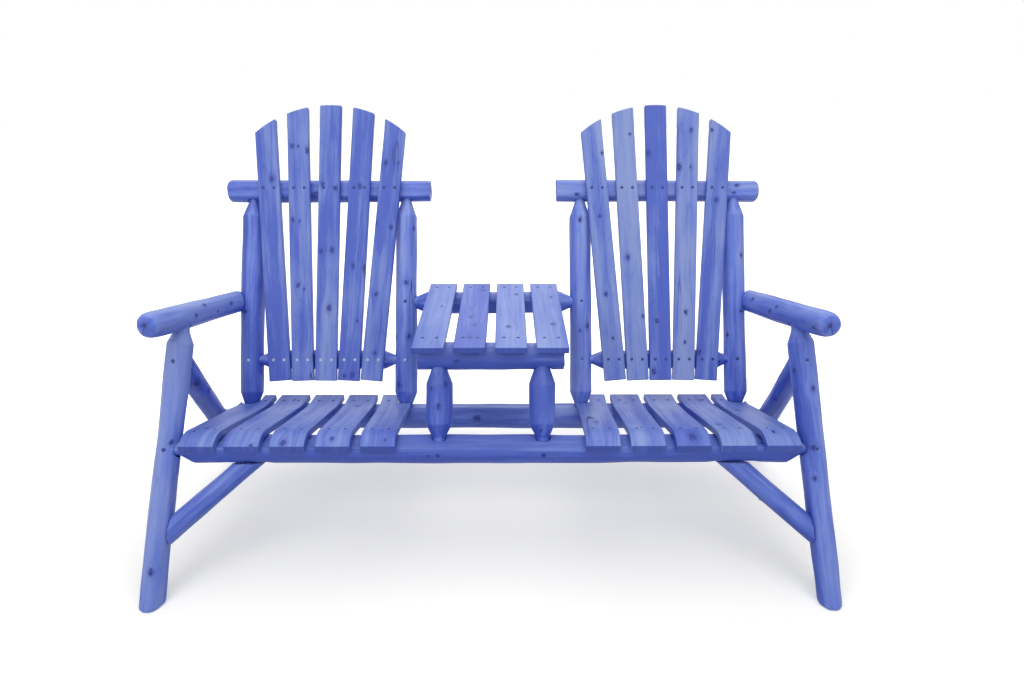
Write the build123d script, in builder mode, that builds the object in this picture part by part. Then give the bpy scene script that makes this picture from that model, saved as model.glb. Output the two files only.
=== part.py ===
from build123d import *

import os
from dataclasses import dataclass
from math import atan, cos, degrees, hypot, radians, sin, sqrt, tan

os.makedirs("parts", exist_ok=True)

# A garden bench of peeled logs: two chairs side by side with a small slatted table between them.
# Millimetres. X runs along the bench, Y from front to back and Z up. The origin is on the floor,
# under the middle of the whole bench. Each log ends in a cone and a round tenon.

# Logs
log_diameter = 63
front_leg_diameter = 60.5
table_post_diameter = 65
table_front_beam_diameter = 68
front_rail_diameter = 73
back_rail_diameter = 72
rear_leg_diameter = 60
brace_diameter = 52
lower_rail_diameter = 52
joint_clearance = 0.3

# Tenons and the cones behind them
leg_tenon_diameter = 36
leg_cone_length = 32
rail_tenon_diameter = 38
rail_cone_length = 36
post_tenon_diameter = 33
post_foot_cone_length = 41
post_head_cone_length = 43
table_post_head_tenon_diameter = 41
table_post_foot_tenon_diameter = 33
table_post_cone_length = 34
table_beam_tenon_diameter = 36
table_beam_cone_length = 29
lower_rail_tenon_diameter = 27
lower_rail_cone_length = 30
tenon_depth = 26
rail_tenon_depth = 40

# Side frames: the front legs lean back and in, the rear legs lean forward against them
foot_spread = 1643
leg_lean_angle = 26.4
leg_splay_angle = 6.5
rear_leg_lean_angle = 36.0
front_rail_height = 336
back_rail_height = 244
rail_spacing = 299.8
foot_rounding = 4
rear_facet_depth = 4
rear_facet_turn = 50

# Flats hewn along the rails for the boards
front_rail_flat_depth = 16
back_rail_flat_depth = 3.5
back_rail_flat_tilt = 6.5
top_rail_flat_depth = 6
lower_rail_forward = 3

# Arms
arm_height = 622
arm_side_offset = 9
arm_rise_angle = 14.7
arm_toe_angle = 5
arm_front_reach = 144
arm_lap = 4
arm_front_rounding = 18
arm_back_rounding = 8

# Knee braces, in the leaned plane of the front legs
brace_foot_height = 162
brace_angle = 40.9
brace_seat_depth = 3.5
brace_seat_slope = 9
leg_seat_height = 198
leg_seat_run = 165
rail_seat_run = 92

# Backs of the chairs, where lengths along a back start at the back rail's flat
chair_offset = 470
post_spacing = 440
post_lean_angle = 27.7
top_rail_along = 619
top_rail_length = 580
top_rail_outer_rounding = 9
top_rail_inner_rounding = 3
lower_rail_along = 132
back_slat_count = 5
back_slat_width = 60.4
back_slat_thickness = 17
back_slat_bottom = 73
back_slat_top = 857
back_slat_low_pitch = 63.6
back_slat_high_pitch = 93
back_slat_high_along = 812
back_fan_shift = 7
back_arch_radius = 328

# Seats
seat_slat_count = 5
seat_slat_width = 83
seat_slat_thickness = 18
seat_front_offset = 482
seat_back_offset = 476
seat_front_pitch = 107.5
seat_back_pitch = 98
seat_nose_reach = 44.3
seat_nose_angle = 26.6
seat_bend_reach = 36
seat_overhang = 43.5
seat_crest_radius = 45
seat_bend_radius = 200
seat_notch_radius = 27
seat_notch_set_back = 6

# Table
table_height = 586
table_slat_count = 4
table_slat_width = 76.5
table_slat_thickness = 16
table_front_pitch = 98.6
table_back_pitch = 95.4
table_front_overhang = 56
table_back_overhang = 30
table_front_beam_length = 358
table_beam_rounding = 3
table_beam_flat_depth = 1.5
table_post_spacing = 253
table_post_set_back = 6

# Boards have eased edges
board_rounding = 2.5

# Screws and nails, with heads just under the surface
screw_diameter = 4.5
screw_head_diameter = 8
screw_head_height = 3
screw_head_rim = 0.6
screw_sink = 0.8
slat_screw_length = 36
frame_screw_length = 50
long_screw_length = 90
arm_screw_along = 268
arm_screw_turn = 21
arm_screw_length = 80
back_screw_spacing = 30
seat_screw_spacing = 40
table_screw_spacing = 34
cut_overrun = 60


def slope(angle):
    """Rise over run of an angle in degrees."""
    return tan(radians(angle))


# Heights and places that follow from the sizes above
log_radius = log_diameter / 2
leg_radius = front_leg_diameter / 2
leg_lean = slope(leg_lean_angle)
leg_splay = slope(leg_splay_angle)
rail_y_from_foot = leg_lean * front_rail_height
slat_back_offset = log_radius - top_rail_flat_depth
back_sin = sin(radians(post_lean_angle))
back_cos = cos(radians(post_lean_angle))
leg_stretch = sqrt(1 + leg_lean**2)
front_reach = leg_radius * leg_stretch - foot_rounding * (leg_lean + leg_stretch - 1)
back_top_reach = back_slat_top * back_sin - slat_back_offset * back_cos
rear_reach = rail_y_from_foot + rail_spacing + back_top_reach - board_rounding * (back_sin + back_cos - 1)
front_foot_y = (front_reach - rear_reach) / 2
front_rail_y = front_foot_y + rail_y_from_foot
back_rail_y = front_rail_y + rail_spacing


def leg_point(height):
    """Point on the axis of the right front leg."""
    return Vector(foot_spread / 2 - leg_splay * height, front_foot_y + leg_lean * height, height)


def rear_leg_point(height):
    """Point on the axis of the right rear leg, which crosses the back rail's axis."""
    y = back_rail_y + slope(rear_leg_lean_angle) * (back_rail_height - height)
    return Vector(foot_spread / 2 - leg_splay * height, y, height)


leg_axis = (leg_point(table_height) - leg_point(0)).normalized()
rear_leg_axis = (rear_leg_point(table_height) - rear_leg_point(0)).normalized()
leaned_up = Vector(0, leg_lean, 1).normalized()
back_up = Vector(0, back_sin, back_cos)
back_forward = Vector(0, -back_cos, back_sin)
back_flat_up = Vector(0, sin(radians(back_rail_flat_tilt)), cos(radians(back_rail_flat_tilt)))
back_flat_height = back_rail_diameter / 2 - back_rail_flat_depth
post_foot_height = back_rail_height + back_flat_height / cos(radians(back_rail_flat_tilt))


def back_point(x, along, forward=0):
    """Point in a chair's back: along the posts from their feet, and forward of their axes."""
    return Vector(x, back_rail_y, post_foot_height) + back_up * along + back_forward * forward


def back_y(height):
    """Depth of the post axes at a height."""
    return back_rail_y + slope(post_lean_angle) * (height - post_foot_height)


@dataclass
class Tenon:
    """A log's end: its cone narrows to the tenon, which reaches on by its depth."""

    diameter: float
    cone: float
    depth: float = tenon_depth


@dataclass
class Log:
    """A round log between two points. With a tenon, that point is where the cone ends."""

    start: Vector
    end: Vector
    diameter: float
    start_tenon: Tenon = None
    end_tenon: Tenon = None
    start_rounding: float = 0
    end_rounding: float = 0

    @property
    def axis(self):
        """Direction from start to end."""
        return (self.end - self.start).normalized()

    def make(self, mode=Mode.ADD, grow=0):
        """Adds the log to the part in hand, or cuts the room that it needs there."""
        radius = self.diameter / 2 + grow
        length = (self.end - self.start).length
        outline = [(0, radius), (length, radius)]
        if self.start_tenon:
            tenon = self.start_tenon
            tenon_radius = tenon.diameter / 2 + grow
            outline[0:1] = [(-tenon.depth - grow, tenon_radius), (0, tenon_radius), (tenon.cone, radius)]
        if self.end_tenon:
            tenon = self.end_tenon
            tenon_radius = tenon.diameter / 2 + grow
            far = length + tenon.depth + grow
            outline[-1:] = [(length - tenon.cone, radius), (length, tenon_radius), (far, tenon_radius)]
        across = self.axis.cross(Vector(0, 0, 1)).normalized()
        with BuildSketch(Plane(self.start, x_dir=self.axis, z_dir=across)) as half:
            with BuildLine():
                Polyline((outline[0][0], 0), *outline, (outline[-1][0], 0), close=True)
            make_face()
            if self.start_rounding:
                fillet(half.vertices().sort_by_distance((0, radius))[0], self.start_rounding)
            if self.end_rounding:
                fillet(half.vertices().sort_by_distance((length, radius))[0], self.end_rounding)
        revolve(half.sketch, axis=Axis(self.start, self.axis), mode=mode)

    def cut_socket(self):
        """Cuts the hole that this log's end fits."""
        self.make(Mode.SUBTRACT, joint_clearance)


@dataclass
class Screw:
    """A countersunk screw or nail whose head lies just under the surface at a point."""

    point: Vector
    axis: Vector
    length: float = slat_screw_length

    def make(self, mode=Mode.ADD, grow=0, top=0):
        """Adds the screw, or cuts its hole, which runs on out through the surface."""
        shank = screw_diameter / 2 + grow
        head = screw_head_diameter / 2 + grow
        inward = self.axis.normalized()
        across = inward.cross(Vector(1, 0, 0) if abs(inward.X) < abs(inward.Y) else Vector(0, 1, 0))
        plane = Plane(self.point + inward * screw_sink, x_dir=inward, z_dir=across.normalized())
        with BuildSketch(plane) as half:
            with BuildLine():
                Polyline(
                    (-top, 0),
                    (-top, head),
                    (screw_head_rim, head),
                    (screw_head_height + grow, shank),
                    (self.length + grow, shank),
                    (self.length + grow, 0),
                    close=True,
                )
            make_face()
        revolve(half.sketch, axis=Axis(plane.origin, inward), mode=mode)

    def cut_hole(self):
        """Cuts the hole and the sunk room for the head."""
        self.make(Mode.SUBTRACT, joint_clearance, screw_sink + cut_overrun)


def finish(name, part):
    """Labels a piece and writes it."""
    part.label = name
    export_step(part, f"parts/{name}.step")


def finish_pair(name, right):
    """Writes a piece of the right half and its mirror image."""
    finish(f"{name}_right", right)
    with BuildPart() as left:
        mirror(right, about=Plane.YZ)
    finish(f"{name}_left", left.part)


def finish_screws(name, screws):
    """Writes a group of screws, each a solid of its own, on both halves of the bench."""
    with BuildPart() as group:
        for screw in screws:
            screw.make()
        mirror(about=Plane.YZ)
    finish(name, group.part)


# Right half: the logs

front_flat_height = front_rail_diameter / 2 - front_rail_flat_depth
leg_head = leg_point(arm_height)
arm_toe = radians(arm_toe_angle)
arm_rise = radians(arm_rise_angle)
arm_axis = Vector(-sin(arm_toe) * cos(arm_rise), cos(arm_toe) * cos(arm_rise), -sin(arm_rise))
arm_centre = leg_head + Vector(arm_side_offset, 0, 0)
arm_fall = arm_axis.Z / arm_axis.Y
arm_run = (back_y(arm_height) - leg_head.Y) / (1 - slope(post_lean_angle) * arm_fall) / arm_axis.Y
leg_shoulder = leg_head - leg_axis * (log_radius / sin(radians(arm_axis.get_angle(leg_axis))))
leg_foot = leg_point(0) - leg_axis * cut_overrun
leg_tenon = Tenon(leg_tenon_diameter, leg_cone_length)
front_leg = Log(leg_foot, leg_shoulder, front_leg_diameter, end_tenon=leg_tenon)
arm = Log(
    arm_centre - arm_axis * arm_front_reach,
    arm_centre + arm_axis * (arm_run + arm_lap),
    log_diameter,
    start_rounding=arm_front_rounding,
    end_rounding=arm_back_rounding,
)

rear_lean = slope(rear_leg_lean_angle)
crossing_height = (back_rail_y - front_foot_y + rear_lean * back_rail_height) / (leg_lean + rear_lean)
rear_leg = Log(
    rear_leg_point(0) - rear_leg_axis * cut_overrun,
    rear_leg_point(crossing_height),
    rear_leg_diameter,
)

rail_tenon = Tenon(rail_tenon_diameter, rail_cone_length, rail_tenon_depth)
front_rail_end = leg_point(front_rail_height).X - leg_radius * sqrt(1 + leg_splay**2)
front_rail = Log(
    Vector(-front_rail_end, front_rail_y, front_rail_height),
    Vector(front_rail_end, front_rail_y, front_rail_height),
    front_rail_diameter,
    rail_tenon,
    rail_tenon,
)
back_rail_end = rear_leg_point(back_rail_height).X - rear_leg_diameter / 2 * sqrt(1 + leg_splay**2)
back_rail = Log(
    Vector(-back_rail_end, back_rail_y, back_rail_height),
    Vector(back_rail_end, back_rail_y, back_rail_height),
    back_rail_diameter,
    rail_tenon,
    rail_tenon,
)

inner_post_x = chair_offset - post_spacing / 2
outer_post_x = chair_offset + post_spacing / 2


def back_post(x):
    """A post of the back, from the back rail's flat to the top rail."""
    return Log(
        back_point(x, 0),
        back_point(x, top_rail_along - log_radius),
        log_diameter,
        Tenon(post_tenon_diameter, post_foot_cone_length),
        Tenon(post_tenon_diameter, post_head_cone_length),
    )


posts = {"inner": back_post(inner_post_x), "outer": back_post(outer_post_x)}
top_rail = Log(
    back_point(chair_offset - top_rail_length / 2, top_rail_along),
    back_point(chair_offset + top_rail_length / 2, top_rail_along),
    log_diameter,
    start_rounding=top_rail_inner_rounding,
    end_rounding=top_rail_outer_rounding,
)
lower_rail_tenon = Tenon(lower_rail_tenon_diameter, lower_rail_cone_length, rail_tenon_depth)
lower_rail = Log(
    back_point(inner_post_x + log_radius, lower_rail_along, lower_rail_forward),
    back_point(outer_post_x - log_radius, lower_rail_along, lower_rail_forward),
    lower_rail_diameter,
    lower_rail_tenon,
    lower_rail_tenon,
)

table_underside = table_height - table_slat_thickness
front_beam_flat_height = table_front_beam_diameter / 2 - table_beam_flat_depth
back_beam_flat_height = log_radius - table_beam_flat_depth
front_beam_height = table_underside - front_beam_flat_height - joint_clearance
back_beam_height = table_underside - back_beam_flat_height - joint_clearance
front_beam_y = leg_point(front_beam_height).Y
back_beam_y = back_y(back_beam_height)
table_front_beam = Log(
    Vector(-table_front_beam_length / 2, front_beam_y, front_beam_height),
    Vector(table_front_beam_length / 2, front_beam_y, front_beam_height),
    table_front_beam_diameter,
    start_rounding=table_beam_rounding,
    end_rounding=table_beam_rounding,
)
beam_tenon = Tenon(table_beam_tenon_diameter, table_beam_cone_length, rail_tenon_depth)
table_back_beam = Log(
    Vector(-inner_post_x + log_radius, back_beam_y, back_beam_height),
    Vector(inner_post_x - log_radius, back_beam_y, back_beam_height),
    log_diameter,
    beam_tenon,
    beam_tenon,
)

table_post_x = table_post_spacing / 2
table_post_foot = Vector(
    table_post_x,
    front_rail_y + leg_lean * front_flat_height + table_post_set_back,
    front_rail_height + front_flat_height,
)
table_post_head = Vector(table_post_x, front_beam_y, front_beam_height)
table_post = Log(
    table_post_foot,
    table_post_head - leaned_up * table_front_beam_diameter / 2,
    table_post_diameter,
    Tenon(table_post_foot_tenon_diameter, table_post_cone_length),
    Tenon(table_post_head_tenon_diameter, table_post_cone_length),
)

# The knee brace runs from the inner side of the leg up to the underside of the front rail, and has
# a hewn seat on both
brace_axis = Vector(-cos(radians(brace_angle)), 0, 0) + leaned_up * sin(radians(brace_angle))
leg_inward = (Vector(-1, 0, 0) + leg_axis * leg_axis.X).normalized()
leg_seat = leg_point(leg_seat_height) + leg_inward * (leg_radius - brace_seat_depth)
brace_foot = leg_point(brace_foot_height) + leg_inward * (leg_radius - brace_seat_depth)
rail_seat_drop = front_rail_diameter / 2 - brace_seat_depth
rail_seat_level = front_rail.end - leaned_up * rail_seat_drop
brace_length = (rail_seat_level - brace_foot).dot(leaned_up) / sin(radians(brace_angle))
rail_seat = brace_foot + brace_axis * brace_length
brace = Log(
    brace_foot - brace_axis * brace_diameter,
    rail_seat + brace_axis * brace_diameter,
    brace_diameter,
)


# Screws of the right half

def slat_fan(count):
    """Places across a row of slats, as counts from its middle."""
    return [index - (count - 1) / 2 for index in range(count)]


def back_slat_x(place, along):
    """Middle of a back slat at a length along the back."""
    share = (along - back_slat_bottom) / (back_slat_high_along - back_slat_bottom)
    low = chair_offset + place * back_slat_low_pitch
    high = chair_offset - back_fan_shift + place * back_slat_high_pitch
    return low + (high - low) * share


def back_slat_screws(place, along):
    """The two screws that hold a back slat to a rail."""
    front = slat_back_offset + back_slat_thickness
    x = back_slat_x(place, along)
    sides = (-back_screw_spacing / 2, back_screw_spacing / 2)
    return [Screw(back_point(x + side, along, front), -back_forward) for side in sides]


back_places = slat_fan(back_slat_count)
top_rail_screws = [screw for place in back_places for screw in back_slat_screws(place, top_rail_along)]
lower_rail_screws = [screw for place in back_places for screw in back_slat_screws(place, lower_rail_along)]

# Seat slats follow three straight stretches: the nose, the long slope and the end on the back rail.
# Each stretch is a point on its underside and its slope.
front_flat_half = sqrt((front_rail_diameter / 2) ** 2 - front_flat_height**2)
front_flat_z = front_rail_height + front_flat_height + joint_clearance
nose_slope = slope(seat_nose_angle)
end_slope = -slope(back_rail_flat_tilt)
end_z = post_foot_height + joint_clearance / cos(radians(back_rail_flat_tilt))
bend_y = back_rail_y - seat_bend_reach
bend_z = end_z - end_slope * seat_bend_reach
mid_slope = (bend_z - front_flat_z) / (bend_y - front_rail_y - front_flat_half)
nose_line = (front_rail_y - front_flat_half, front_flat_z, nose_slope)
mid_line = (front_rail_y + front_flat_half, front_flat_z, mid_slope)
end_line = (back_rail_y, end_z, end_slope)
seat_nose_y = front_rail_y - seat_nose_reach
seat_end_y = back_rail_y + seat_overhang


def raised(line, lift):
    """The same stretch, moved out square to itself."""
    y, z, rise = line
    return y, z + lift * hypot(1, rise), rise


def height_on(line, y):
    """Height of a stretch at a depth."""
    return line[1] + line[2] * (y - line[0])


def meeting(first, second):
    """Where two stretches meet."""
    y = (second[1] - second[2] * second[0] - first[1] + first[2] * first[0]) / (first[2] - second[2])
    return y, height_on(first, y)


def seat_outline(lift):
    """Corners of a seat slat's side view, square to its underside by the lift."""
    lines = [raised(line, lift) for line in (nose_line, mid_line, end_line)]
    nose = (seat_nose_y, height_on(lines[0], seat_nose_y))
    end = (seat_end_y, height_on(lines[2], seat_end_y))
    return [nose, meeting(lines[0], lines[1]), meeting(lines[1], lines[2]), end]


def seat_slat_x(place, y):
    """Middle of a seat slat at a depth."""
    share = (y - seat_nose_y) / (seat_end_y - seat_nose_y)
    front = seat_front_offset + place * seat_front_pitch
    back = seat_back_offset + place * seat_back_pitch
    return front + (back - front) * share


def seat_screw(x, y, line):
    """A nail square to the top of a seat slat."""
    top = raised(line, seat_slat_thickness)
    return Screw(Vector(x, y, height_on(top, y)), Vector(0, top[2], -1))


seat_places = slat_fan(seat_slat_count)
seat_front_screw_y = front_rail_y + front_flat_half * 2 / 3
seat_half = seat_slat_width / 2
seat_sides = (-seat_screw_spacing / 2, seat_screw_spacing / 2)


def seat_back_screw_places(place):
    """Where a seat slat is nailed to the back rail: beside the notch on the first and last slat."""
    middle = seat_slat_x(place, back_rail_y)
    if place == seat_places[0]:
        return [(inner_post_x + seat_notch_radius + middle + seat_half) / 2]
    if place == seat_places[-1]:
        return [(outer_post_x - seat_notch_radius + middle - seat_half) / 2]
    return [middle + side for side in seat_sides]


front_rail_screws = [
    seat_screw(seat_slat_x(place, seat_front_screw_y) + side, seat_front_screw_y, mid_line)
    for place in seat_places
    for side in seat_sides
]
back_rail_screws = [
    seat_screw(x, back_rail_y, end_line) for place in seat_places for x in seat_back_screw_places(place)
]

table_places = slat_fan(table_slat_count)
right_table_places = [place for place in table_places if place > 0]
table_front = front_beam_y - table_front_overhang
table_back = back_beam_y + table_back_overhang


def table_slat_x(place, y):
    """Middle of a table slat at a depth."""
    share = (y - table_front) / (table_back - table_front)
    return place * (table_front_pitch + (table_back_pitch - table_front_pitch) * share)


def table_screws(y):
    """The nails of the right half of the table top into one beam."""
    sides = (-table_screw_spacing / 2, table_screw_spacing / 2)
    return [
        Screw(Vector(table_slat_x(place, y) + side, y, table_height), Vector(0, 0, -1))
        for place in right_table_places
        for side in sides
    ]


front_beam_screws = table_screws(front_beam_y)
back_beam_screws = table_screws(back_beam_y)


def frame_screw(target, axis, depth, length=frame_screw_length):
    """A long screw toward a point inside the frame, from the surface that lies depth before it."""
    return Screw(target - axis.normalized() * depth, axis, length)


leg_forward = Vector(0, -leaned_up.Z, leaned_up.Y)
leg_rail_screw = frame_screw(leg_point(front_rail_height), -leg_forward, leg_radius)
rear_leg_screw = frame_screw(leg_point(crossing_height), -leg_forward, leg_radius, long_screw_length)
brace_screw = frame_screw(brace_foot, leg_inward, leg_radius * 2 - brace_seat_depth, long_screw_length)
table_post_screw = frame_screw(
    Vector(table_post_x, front_rail_y, front_rail_height), Vector(0, 1, 0), front_rail_diameter / 2
)
beam_screw_along = (back_beam_height - post_foot_height) / back_up.Z
beam_screw = frame_screw(back_point(inner_post_x, beam_screw_along), -back_forward, log_radius)
lower_rail_post_screws = {
    name: frame_screw(back_point(x, lower_rail_along), -back_forward, log_radius)
    for name, x in (("inner", inner_post_x), ("outer", outer_post_x))
}
arm_screw_point = back_point(
    outer_post_x + log_radius * sin(radians(arm_screw_turn)),
    arm_screw_along,
    log_radius * cos(radians(arm_screw_turn)),
)
post_front_screw = Screw(arm_screw_point, -back_forward)
arm_outward = (Vector(1, 0, 0) - arm_axis * arm_axis.X).normalized()
arm_screw = frame_screw(arm_centre + arm_axis * arm_run, -arm_outward, log_radius, arm_screw_length)


# The right half and the pieces in the middle

def cut_seat(centre, outward, along, run):
    """Hews a flat seat into a log: the run of the flat is along the log, and its ends slope out."""
    rise = brace_seat_depth * 2
    reach = run / 2 + rise / slope(brace_seat_slope)
    with BuildSketch(Plane(centre, x_dir=along, z_dir=along.cross(outward))) as side:
        with BuildLine():
            Polyline((-run / 2, 0), (run / 2, 0), (reach, rise), (-reach, rise), close=True)
        make_face()
    extrude(side.sketch, amount=leg_radius, both=True, mode=Mode.SUBTRACT)


with BuildPart() as front_leg_right:
    front_leg.make()
    split(bisect_by=Plane.XY, keep=Keep.TOP)
    fillet(front_leg_right.edges().group_by(Axis.Z)[0], foot_rounding)
    front_rail.cut_socket()
    cut_seat(leg_seat, leg_inward, leg_axis, leg_seat_run)
    leg_rail_screw.cut_hole()
    rear_leg_screw.cut_hole()
    brace_screw.cut_hole()
finish_pair("front_leg", front_leg_right.part)

rear_facet_side = Vector(1, 0, 0) * sin(radians(rear_facet_turn))
rear_facet_side += Vector(0, -rear_leg_axis.Z, rear_leg_axis.Y) * cos(radians(rear_facet_turn))
rear_facet_side = (rear_facet_side - rear_leg_axis * rear_facet_side.dot(rear_leg_axis)).normalized()
rear_facet_centre = rear_leg.end + rear_facet_side * (rear_leg_diameter / 2 - rear_facet_depth)
with BuildPart() as rear_leg_right:
    rear_leg.make()
    split(bisect_by=Plane.XY, keep=Keep.TOP)
    fillet(rear_leg_right.edges().group_by(Axis.Z)[0], foot_rounding)
    split(bisect_by=Plane(rear_facet_centre, z_dir=rear_facet_side), keep=Keep.BOTTOM)
    front_leg.cut_socket()
    back_rail.cut_socket()
    rear_leg_screw.cut_hole()
finish_pair("rear_leg", rear_leg_right.part)

with BuildPart() as arm_right:
    arm.make()
    front_leg.cut_socket()
    posts["outer"].cut_socket()
    arm_screw.cut_hole()
finish_pair("arm", arm_right.part)

with BuildPart() as knee_brace_right:
    brace.make()
    split(bisect_by=Plane(brace_foot + leg_inward * joint_clearance, z_dir=leg_inward), keep=Keep.TOP)
    split(bisect_by=Plane(rail_seat - leaned_up * joint_clearance, z_dir=leaned_up), keep=Keep.BOTTOM)
    brace_screw.cut_hole()
finish_pair("knee_brace", knee_brace_right.part)

with BuildPart() as front_rail_half:
    front_rail.make()
    split(bisect_by=Plane.YZ, keep=Keep.TOP)
    split(bisect_by=Plane.XY.offset(front_rail_height + front_flat_height), keep=Keep.BOTTOM)
    cut_seat(rail_seat, -leaned_up, Vector(1, 0, 0), rail_seat_run)
    table_post.cut_socket()
    leg_rail_screw.cut_hole()
    table_post_screw.cut_hole()
    for screw in front_rail_screws:
        screw.cut_hole()
with BuildPart() as front_rail_whole:
    add(front_rail_half.part)
    mirror(about=Plane.YZ)
finish("front_rail", front_rail_whole.part)

back_flat_centre = back_rail.end + back_flat_up * back_flat_height
with BuildPart() as back_rail_half:
    back_rail.make()
    split(bisect_by=Plane.YZ, keep=Keep.TOP)
    split(bisect_by=Plane(back_flat_centre, z_dir=back_flat_up), keep=Keep.BOTTOM)
    for post in posts.values():
        post.cut_socket()
    for screw in back_rail_screws:
        screw.cut_hole()
with BuildPart() as back_rail_whole:
    add(back_rail_half.part)
    mirror(about=Plane.YZ)
finish("back_rail", back_rail_whole.part)

with BuildPart() as back_post_inner_right:
    posts["inner"].make()
    lower_rail.cut_socket()
    table_back_beam.cut_socket()
    lower_rail_post_screws["inner"].cut_hole()
    beam_screw.cut_hole()
finish_pair("back_post_inner", back_post_inner_right.part)

with BuildPart() as back_post_outer_right:
    posts["outer"].make()
    lower_rail.cut_socket()
    lower_rail_post_screws["outer"].cut_hole()
    post_front_screw.cut_hole()
    arm_screw.cut_hole()
finish_pair("back_post_outer", back_post_outer_right.part)

slat_back_plane = Plane(
    back_point(chair_offset, 0, slat_back_offset),
    x_dir=Vector(1, 0, 0),
    z_dir=back_forward,
)
slat_seat_plane = slat_back_plane.offset(-joint_clearance)
with BuildPart() as top_rail_right:
    top_rail.make()
    split(bisect_by=slat_seat_plane, keep=Keep.BOTTOM)
    for post in posts.values():
        post.cut_socket()
    for screw in top_rail_screws:
        screw.cut_hole()
finish_pair("top_rail", top_rail_right.part)

with BuildPart() as lower_back_rail_right:
    lower_rail.make()
    split(bisect_by=slat_seat_plane, keep=Keep.BOTTOM)
    for screw in lower_rail_screws:
        screw.cut_hole()
    for screw in lower_rail_post_screws.values():
        screw.cut_hole()
finish_pair("lower_back_rail", lower_back_rail_right.part)

back_arch_along = back_slat_top - back_arch_radius
for number, place in enumerate(back_places, start=1):
    foot_x = back_slat_x(place, back_slat_bottom) - chair_offset
    head_x = back_slat_x(place, back_slat_top) - chair_offset
    slat_turn = degrees(atan((foot_x - head_x) / (back_slat_top - back_slat_bottom)))
    with BuildPart() as back_slat_right:
        with BuildSketch(slat_back_plane) as face:
            with Locations(Location((foot_x, back_slat_bottom, 0), slat_turn)):
                Rectangle(back_slat_width, back_slat_top, align=(Align.CENTER, Align.MIN))
            with BuildSketch(mode=Mode.PRIVATE) as arch:
                with Locations((-back_fan_shift, back_arch_along)):
                    Circle(back_arch_radius)
                    Rectangle(back_arch_radius * 2, back_slat_top, align=(Align.CENTER, Align.MAX))
            add(arch.sketch, mode=Mode.INTERSECT)
        extrude(amount=back_slat_thickness)
        fillet(back_slat_right.edges(), board_rounding)
        for screw in back_slat_screws(place, top_rail_along) + back_slat_screws(place, lower_rail_along):
            screw.cut_hole()
    finish_pair(f"back_slat_{number}", back_slat_right.part)

seat_under = seat_outline(0)
seat_over = seat_outline(seat_slat_thickness)
under_radii = [0, seat_crest_radius, seat_bend_radius, 0]
over_radii = [0, seat_bend_radius - seat_slat_thickness, seat_crest_radius + seat_slat_thickness, 0]
for number, place in enumerate(seat_places, start=1):
    nose_x = seat_slat_x(place, seat_nose_y)
    end_x = seat_slat_x(place, seat_end_y)
    with BuildPart() as seat_slat_right:
        with BuildSketch(Plane.YZ) as side:
            with BuildLine():
                FilletPolyline(
                    *seat_under,
                    *reversed(seat_over),
                    radius=under_radii + over_radii,
                    close=True,
                )
            make_face()
        extrude(amount=outer_post_x + log_diameter)
        with BuildSketch() as plan:
            with BuildLine():
                Polyline(
                    (nose_x - seat_half, seat_nose_y),
                    (nose_x + seat_half, seat_nose_y),
                    (end_x + seat_half, seat_end_y),
                    (end_x - seat_half, seat_end_y),
                    close=True,
                )
            make_face()
        extrude(amount=table_height, mode=Mode.INTERSECT)
        smooth_lines = seat_slat_right.edges().filter_by(Axis.X).group_by(Axis.Y)[1:-1]
        smooth_lines = [edge for group in smooth_lines for edge in group]
        fillet([edge for edge in seat_slat_right.edges() if edge not in smooth_lines], board_rounding)
        if place in (seat_places[0], seat_places[-1]):
            post_x = inner_post_x if place < 0 else outer_post_x
            with BuildSketch() as notch:
                with Locations((post_x, back_rail_y + seat_notch_set_back)):
                    Circle(seat_notch_radius)
                    Rectangle(seat_notch_radius * 2, seat_overhang * 2, align=(Align.CENTER, Align.MIN))
            extrude(amount=table_height, mode=Mode.SUBTRACT)
        for side_x in seat_sides:
            x = seat_slat_x(place, seat_front_screw_y) + side_x
            seat_screw(x, seat_front_screw_y, mid_line).cut_hole()
        for x in seat_back_screw_places(place):
            seat_screw(x, back_rail_y, end_line).cut_hole()
    finish_pair(f"seat_slat_{number}", seat_slat_right.part)

beam_top = Plane.XY.offset(table_underside - joint_clearance)
table_beams = (
    ("table_front_beam", table_front_beam, front_beam_screws),
    ("table_back_beam", table_back_beam, back_beam_screws),
)
for name, beam, screws in table_beams:
    with BuildPart() as beam_half:
        beam.make()
        split(bisect_by=Plane.YZ, keep=Keep.TOP)
        split(bisect_by=beam_top, keep=Keep.BOTTOM)
        table_post.cut_socket()
        beam_screw.cut_hole()
        for screw in screws:
            screw.cut_hole()
    with BuildPart() as beam_whole:
        add(beam_half.part)
        mirror(about=Plane.YZ)
    finish(name, beam_whole.part)

with BuildPart() as table_post_right:
    table_post.make()
    table_post_screw.cut_hole()
finish_pair("table_post", table_post_right.part)

table_half = table_slat_width / 2
for number, place in enumerate(right_table_places, start=1):
    front_x = table_slat_x(place, table_front)
    back_x = table_slat_x(place, table_back)
    with BuildPart() as table_slat_right:
        with BuildSketch(Plane.XY.offset(table_underside)):
            with BuildLine():
                Polyline(
                    (front_x - table_half, table_front),
                    (front_x + table_half, table_front),
                    (back_x + table_half, table_back),
                    (back_x - table_half, table_back),
                    close=True,
                )
            make_face()
        extrude(amount=table_slat_thickness)
        fillet(table_slat_right.edges(), board_rounding)
        for screw in front_beam_screws + back_beam_screws:
            screw.cut_hole()
    finish_pair(f"table_slat_{number}", table_slat_right.part)

finish_screws("back_slat_screws", top_rail_screws + lower_rail_screws)
finish_screws("seat_nails", front_rail_screws + back_rail_screws)
finish_screws("table_nails", front_beam_screws + back_beam_screws)
frame_screws = [leg_rail_screw, rear_leg_screw, brace_screw, arm_screw]
frame_screws += [table_post_screw, beam_screw, post_front_screw]
finish_screws("frame_screws", frame_screws + list(lower_rail_post_screws.values()))
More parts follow.
